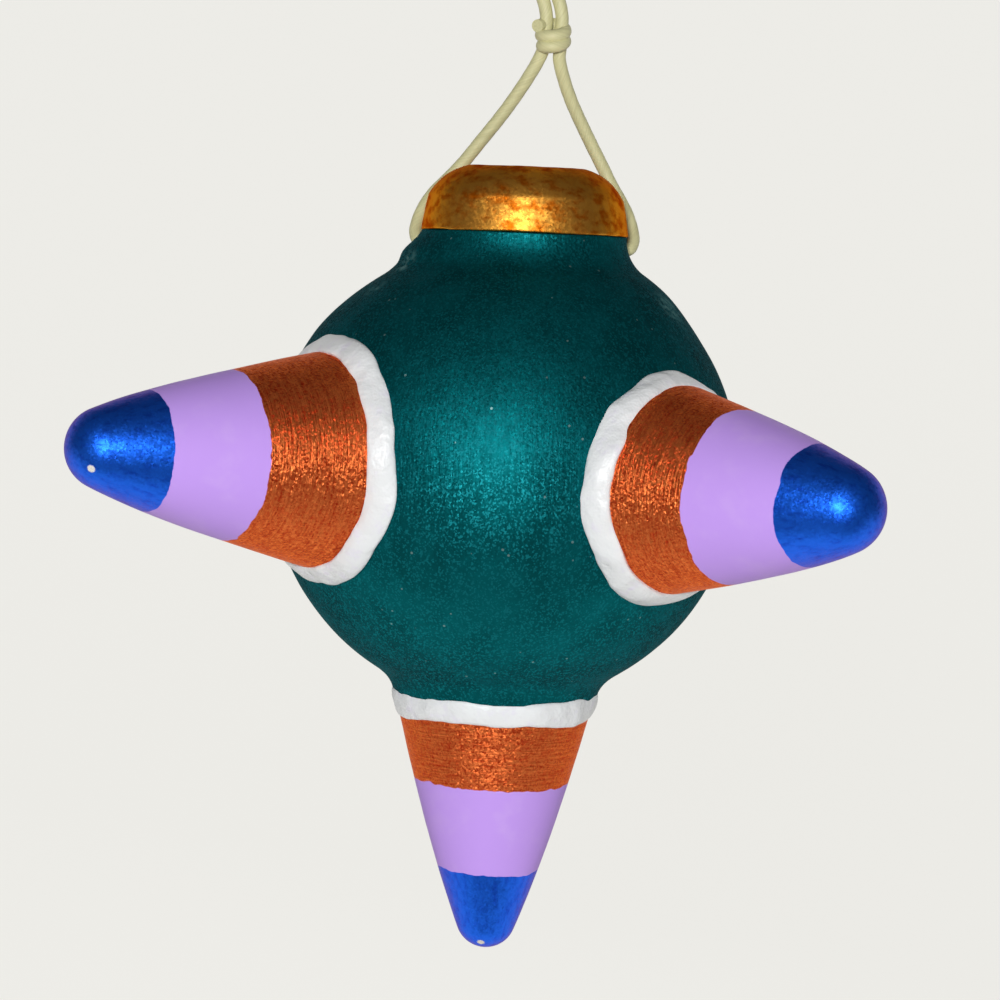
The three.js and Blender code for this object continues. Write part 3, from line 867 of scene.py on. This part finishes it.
def cone_outline(cone, reach):
    """Cone along +Z from the belly's centre: a base sunk in the belly, a bowed side and a round tip."""
    base = BELLY_RADIUS - CONE_SINK
    root = Vector((cone.root, 0, math.sqrt(BELLY_RADIUS**2 - cone.root**2)))
    tip_centre = reach - cone.tip
    waist = Vector((cone.waist, 0, BELLY_RADIUS + WAIST_SHARE * (reach - BELLY_RADIUS)))
    slope = math.atan2(waist.x - cone.tip, tip_centre + TIP_AIM * cone.tip - waist.z)
    tip = arc((0, tip_centre), cone.tip, slope, math.pi / 2, 24)
    return [
        *arc((0, 0), base, math.pi / 2, math.acos(cone.root / base), 10),
        *bow(root, waist, tip[0], 60),
        *tip[1:],
    ]


def slip_outline(cone, clay):
    """Section of a white line: a low crown between its edges on belly and cone, and a foot in the corner."""
    root = Vector((cone.root, 0, math.sqrt(BELLY_RADIUS**2 - cone.root**2)))
    low_angle = math.acos(cone.root / BELLY_RADIUS) - cone.skirt / BELLY_RADIUS
    low = Vector((BELLY_RADIUS * math.cos(low_angle), 0, BELLY_RADIUS * math.sin(low_angle)))
    if cone.skirt < 0:
        low = root + Vector((SIDE_SLOPE * cone.skirt, 0, -cone.skirt))
    high = root + Vector((-SIDE_SLOPE * cone.climb, 0, cone.climb))
    middle = (low + high) / 2
    run = (high - low) / 2
    out = Vector((run.z, 0, -run.x)).normalized()
    section = []
    for i in range(SLIP_STEPS + 1):
        turn = 2 * math.pi * i / SLIP_STEPS - math.pi
        rise = clay.slip_rise if math.sin(turn) > 0 else clay.slip_depth
        section.append(middle - run * math.cos(turn) + out * (rise * math.sin(turn)))
    return section


def cone_frame(name):
    """Matrix of a cone's own frame, with +Z along it, and its reach from the belly's centre."""
    corners = [v.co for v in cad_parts["cone_" + name].data.vertices]
    tip = max(corners, key=lambda corner: (corner - BELLY_CENTRE).length)
    axis = tip - BELLY_CENTRE
    turn = Vector((0, 0, 1)).rotation_difference(axis.normalized())
    return Matrix.Translation(BELLY_CENTRE) @ turn.to_matrix().to_4x4(), axis.length


class PINATA_OT_stage(bpy.types.Operator):
    """Sets the camera, the lamps and the paper that runs from the floor up behind."""

    bl_idname = "pinata.stage"
    bl_label = "Set the stage"

    distance: FloatProperty(name="Distance", description="Camera to belly", default=0.2667, unit="LENGTH")
    rise: FloatProperty(
        name="Rise", description="Camera above the belly", default=math.radians(3.7), unit="ROTATION"
    )
    roll: FloatProperty(
        name="Roll", description="Turn of the camera", default=math.radians(2.35), unit="ROTATION"
    )
    lens: FloatProperty(name="Lens", description="Focal length in millimetres", default=115.2)

    def execute(self, context):
        self.set_camera(context)
        self.set_paper(context)
        self.set_lamps(context)
        self.set_room(context)
        context.scene.view_settings.view_transform = "Standard"
        return {"FINISHED"}

    def set_camera(self, context):
        camera = bpy.data.cameras.new("camera")
        camera.lens = self.lens
        camera.sensor_width = SENSOR_WIDTH
        camera.shift_x, camera.shift_y = CAMERA_SHIFT
        camera.clip_start = 0.01
        back = Vector((0, -math.cos(self.rise), math.sin(self.rise)))
        level = Vector((0, math.sin(self.rise), math.cos(self.rise)))
        right = Vector((math.cos(self.roll), 0, 0)) + level * math.sin(self.roll)
        up = level * math.cos(self.roll) - Vector((math.sin(self.roll), 0, 0))
        turn = Matrix((right, up, back)).transposed().to_4x4()
        made = bpy.data.objects.new("camera", camera)
        made.matrix_world = Matrix.Translation(BELLY_CENTRE + back * self.distance) @ turn
        context.scene.collection.objects.link(made)
        context.scene.camera = made

    def set_paper(self, context):
        bend = arc((PAPER_WALL - PAPER_BEND, PAPER_FLOOR + PAPER_BEND), PAPER_BEND, -math.pi / 2, 0, 16)
        side = [Vector((PAPER_FRONT, 0, PAPER_FLOOR)), *bend, Vector((PAPER_WALL, 0, PAPER_TOP))]
        edges = (-PAPER_HALF_WIDTH, PAPER_HALF_WIDTH)
        corners = [(x, point.x, point.z) for x in edges for point in side]
        count = len(side)
        faces = [(i, i + count, i + count + 1, i + 1) for i in range(count - 1)]
        mesh = bpy.data.meshes.new("paper")
        mesh.from_pydata(corners, [], faces)
        mesh.shade_smooth()
        mesh.materials.append(shared(studio_paper, "matte_studio_paper", context.scene.pinata_paints))
        made = bpy.data.objects.new("paper", mesh)
        context.scene.collection.objects.link(made)

    def set_lamps(self, context):
        for name, place, width, watts, gleams in LAMPS:
            lamp = bpy.data.lights.new(name, "AREA")
            lamp.size = width
            lamp.energy = watts
            made = bpy.data.objects.new(name, lamp)
            made.location = place
            made.rotation_mode = "QUATERNION"
            made.rotation_quaternion = (BELLY_CENTRE - Vector(place)).to_track_quat("-Z", "Y")
            made.visible_camera = False
            made.visible_glossy = gleams
            context.scene.collection.objects.link(made)

    def set_room(self, context):
        world = bpy.data.worlds.new("studio")
        world.use_nodes = True
        tree = world.node_tree
        paper = context.scene.pinata_paints.paper
        wire(tree, tree.nodes["Background"], {"Color": paper, "Strength": ROOM_LIGHT})
        context.scene.world = world


class PINATA_OT_cords(bpy.types.Operator):
    """Lays the cord through the neck and up to the hanging eye, and ties its two knots."""

    bl_idname = "pinata.cords"
    bl_label = "Lay the cord"

    def execute(self, context):
        cord = context.scene.pinata_cord
        main_knot = self.tie("tied_main_knot", MAIN_KNOT, cord, context, MAIN_KNOT_START)
        seated(main_knot, "knot", "cream_cord", "main_knot")
        eye_knot = self.tie("tied_eye_knot", EYE_KNOT, cord, context, EYE_KNOT_START)
        seated(eye_knot, "hanging_eye", "cream_cord", "eye_knot")
        self.lay_bail(cord, context, main_knot)
        self.lay_eye(cord, context, eye_knot)
        return {"FINISHED"}

    def grow(self, name, route, cord, context):
        settings = {
            "Diameter": cord.diameter,
            "Lay": cord.lay,
            "Plies": cord.plies,
            "Groove": cord.groove,
            "Step": CORD_STEP,
            "Finish": shared(waxed_cotton, "waxed_cotton_cord", context.scene.pinata_paints),
        }
        return grown(name, route, shared(laid_cord_tree, "laid_cord"), settings)

    def tie(self, name, middle, cord, context, start):
        """A knot: turns of cord round the strands, tucked in at one end, with a short tail at the other."""
        turns = []
        for i in range(KNOT_STEPS):
            share = i / (KNOT_STEPS - 1)
            tucked = min(1.0, KNOT_TUCK + KNOT_OPENING * share)
            angle = start + 2 * math.pi * cord.knot_turns * share
            out = cord.knot_wrap * tucked
            height = cord.knot_rise * (share - 0.5) + cord.knot_slant * math.sin(angle)
            turns.append(middle + Vector((out * math.cos(angle), out * math.sin(angle), height)))
        last = turns[-1] - turns[-2]
        outward = Vector((turns[-1].x - middle.x, turns[-1].y - middle.y, 0)).normalized() * cord.knot_tail
        tail = [turns[-1] + last + outward / 4, turns[-1] + last * 2 + outward]
        return self.grow(name, smooth_route([*turns, *tail], KNOT_ROUTE_STEPS), cord, context)

    def lay_bail(self, cord, context, main_knot):
        left = [NECK_MIDDLE + Vector(point) for point in LEFT_LEG]
        right = [NECK_MIDDLE + Vector(point) for point in RIGHT_LEG]
        across = [left[0].lerp(right[0], share) for share in (0.25, 0.5, 0.75)]
        first = MAIN_KNOT + Vector((-INTO_KNOT.x, 0, INTO_KNOT.z))
        points = [first, *reversed(left), *across, *right, MAIN_KNOT + INTO_KNOT]
        route = smooth_route(points, ROUTE_STEPS)
        made = self.grow("bail_cord", route, cord, context)
        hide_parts("cord_leg_left", "cord_crossing", "cord_leg_right")
        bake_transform(made)
        self.declare(made, route, cord, main_knot)

    def lay_eye(self, cord, context, eye_knot):
        aside = Vector((EYE_HALF[0][0], 0, 0))
        strand = [knot + Vector((0, 0, height)) for knot, height in STRAND_POINTS]
        up = [point - aside for point in strand] + [Vector((-x, 0, z)) for x, z in EYE_HALF]
        right_half = [Vector((x, 0, z)) for x, z in reversed(EYE_HALF)]
        down = right_half + [point + aside for point in reversed(strand)]
        route = smooth_route([*up, Vector((0, 0, cord.diameter / 2)), *down], ROUTE_STEPS)
        made = self.grow("hanging_cord", route, cord, context)
        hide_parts("cord_strand_left", "cord_strand_right", "eye_loop")
        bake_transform(made)
        self.declare(made, route, cord, eye_knot)

    def declare(self, made, route, cord, knot):
        """Does nothing."""


class PINATA_OT_pot(bpy.types.Operator):
    """Turns the hollow pot with its neck and bores the two cord holes."""

    bl_idname = "pinata.pot"
    bl_label = "Turn the pot"

    def execute(self, context):
        clay = context.scene.pinata_clay
        paints = context.scene.pinata_paints
        outline = pot_outline(clay)
        settings = {
            "Rings": len(outline),
            "Segments": POT_SEGMENTS,
            "Shift": NECK_MIDDLE.x - BELLY_CENTRE.x,
            "Shift from": BELLY_RADIUS * SHIFT_FROM,
            "Shift to": BELLY_RADIUS * SHIFT_TO,
            "Smear": clay.smear,
            "Smear height": NECK_MIDDLE.z - BELLY_CENTRE.z - clay.smear_drop,
            "Smear reach": clay.smear_reach,
            "Wobble": clay.wobble,
            "Wobble length": clay.wobble_length,
            "Seed": 1,
            "Finish": shared(pearl_teal_acrylic, "pearl_teal_acrylic", paints),
        }
        place = Matrix.Translation(BELLY_CENTRE)
        pot = grown("painted_pot", outline, shared(turned_tree, "turned_by_hand"), settings, place)
        pot.data.materials.append(shared(bare_clay, "bare_fired_clay", paints))
        self.bore(pot, clay, context)
        self.bare_inside(pot, clay)
        seated(pot, "pinata", "teal_paint_on_clay", "pot_body")
        return {"FINISHED"}

    def bore(self, pot, clay, context):
        """Cuts the straight bore for the cord through both sides of the neck."""
        bpy.ops.mesh.primitive_cylinder_add(vertices=32, radius=clay.cord_hole, depth=4 * clay.neck)
        drill = context.object
        middle = NECK_MIDDLE + Vector((0, clay.cord_hole_back, -clay.cord_hole_drop))
        drill.data.transform(Matrix.Translation(middle) @ Matrix.Rotation(math.pi / 2, 4, "Y"))
        cut = pot.modifiers.new("cord_holes", "BOOLEAN")
        cut.operation = "DIFFERENCE"
        cut.solver = "EXACT"
        cut.object = drill
        evaluated = pot.evaluated_get(context.evaluated_depsgraph_get())
        bored = bpy.data.meshes.new_from_object(evaluated)
        pot.modifiers.clear()
        pot.data = bored
        bpy.data.objects.remove(drill)

    def bare_inside(self, pot, clay):
        """Leaves the clay bare where no brush reaches."""
        middle = BELLY_RADIUS - clay.wall / 2
        for face in pot.data.polygons:
            inside = (face.center - BELLY_CENTRE).length < middle
            in_mouth = (face.center.xy - NECK_MIDDLE.xy).length < clay.mouth * MOUTH_MARGIN
            face.material_index = 1 if inside or (in_mouth and face.center.z > BELLY_CENTRE.z) else 0


class PINATA_OT_rim(bpy.types.Operator):
    """Turns the collar on the neck."""

    bl_idname = "pinata.rim"
    bl_label = "Turn the rim"

    def execute(self, context):
        clay = context.scene.pinata_clay
        outline = rim_outline(clay)
        settings = {
            "Rings": len(outline),
            "Segments": RIM_SEGMENTS,
            "Wobble": clay.wobble,
            "Wobble length": clay.wobble_length / 2,
            "Seed": 2,
            "Finish": shared(gold_acrylic, "metallic_gold_acrylic", context.scene.pinata_paints),
        }
        place = Matrix.Translation(NECK_MIDDLE)
        rim = grown("gilded_rim", outline, shared(turned_tree, "turned_by_hand"), settings, place)
        seated(rim, "pinata", "gold_paint_on_clay", "pot_rim")
        return {"FINISHED"}


class PINATA_OT_cone(bpy.types.Operator):
    """Turns one cone with its bands of paint and lays the white line round its root."""

    bl_idname = "pinata.cone"
    bl_label = "Turn a cone"

    name: StringProperty(name="Cone", description="Which cone", default="bottom")
    root: size("Root", "Radius where it leaves the belly", 8.7)
    waist: size("Waist", "Radius that its side is drawn towards", 5.4)
    tip: size("Tip", "Radius of its round tip", 3.3)
    copper_end: size("Copper end", "From the belly's centre to the end of the copper", 26.0)
    lavender_end: size("Lavender end", "From the belly's centre to the end of the lavender", 32.5)
    skirt: size("Skirt", "Reach of the white line over the belly, negative if it begins on the cone", 1.2)
    climb: size("Climb", "Reach of the white line up the cone", 1.5)
    chip: FloatVectorProperty(
        name="Chip",
        description="Point where the paint is chipped",
        default=(0, 0, 1),
        subtype="XYZ",
        unit="LENGTH",
    )
    seed: IntProperty(name="Seed", description="Which wobble it has", default=1)

    def execute(self, context):
        clay = context.scene.pinata_clay
        paints = context.scene.pinata_paints
        place, reach = cone_frame(self.name)
        tree = shared(turned_tree, "turned_by_hand")
        outline = cone_outline(self, reach)
        settings = {
            "Rings": len(outline),
            "Segments": CONE_SEGMENTS,
            "Wobble": clay.wobble,
            "Wobble length": clay.wobble_length,
            "Seed": self.seed,
            "Copper start": math.sqrt(BELLY_RADIUS**2 - self.root**2),
            "Copper end": self.copper_end,
            "Lavender end": self.lavender_end,
            "Tip": reach,
            "Chip": tuple(place.inverted() @ Vector(self.chip)),
            "Finish": shared(banded_acrylics, "banded_acrylic_paints", paints),
        }
        cone = grown("painted_cone_" + self.name, outline, tree, settings, place)
        seated(cone, "pinata", "banded_paint_on_clay", "cone_" + self.name)
        section = slip_outline(self, clay)
        settings = {
            "Rings": len(section),
            "Segments": SLIP_SEGMENTS,
            "Wobble": clay.slip_wobble,
            "Wobble length": clay.slip_wobble_length,
            "Seed": self.seed + SLIP_SEED,
            "Finish": shared(white_slip, "thick_white_acrylic", paints),
        }
        slip = grown("white_line_" + self.name, section, tree, settings, place)
        seated(slip, "pinata", "white_slip", "slip_line_" + self.name)
        return {"FINISHED"}


class PINATA_PT_panel(bpy.types.Panel):
    """Lists the steps and the sizes and colours that they use."""

    bl_idname = "PINATA_PT_panel"
    bl_label = "Pinata"
    bl_space_type = "VIEW_3D"
    bl_region_type = "UI"
    bl_category = "Pinata"

    def draw(self, context):
        for step in ("stage", "cords", "pot", "rim", "cone"):
            self.layout.operator("pinata." + step)
        for group in (context.scene.pinata_clay, context.scene.pinata_cord, context.scene.pinata_paints):
            box = self.layout.box()
            for name in group.__annotations__:
                box.prop(group, name)


CLASSES = (
    PinataClay,
    PinataCord,
    PinataPaints,
    PINATA_OT_stage,
    PINATA_OT_cords,
    PINATA_OT_pot,
    PINATA_OT_rim,
    PINATA_OT_cone,
    PINATA_PT_panel,
)


def register():
    for cls in CLASSES:
        bpy.utils.register_class(cls)
    bpy.types.Scene.pinata_clay = PointerProperty(type=PinataClay)
    bpy.types.Scene.pinata_cord = PointerProperty(type=PinataCord)
    bpy.types.Scene.pinata_paints = PointerProperty(type=PinataPaints)


def unregister():
    del bpy.types.Scene.pinata_paints
    del bpy.types.Scene.pinata_cord
    del bpy.types.Scene.pinata_clay
    for cls in reversed(CLASSES):
        bpy.utils.unregister_class(cls)


def main():
    register()
    bpy.ops.pinata.stage()
    bpy.ops.pinata.cords()
    bpy.ops.pinata.pot()
    bpy.ops.pinata.rim()
    for cone in CONES:
        bpy.ops.pinata.cone(**cone)


if __name__ == "__main__":
    main()
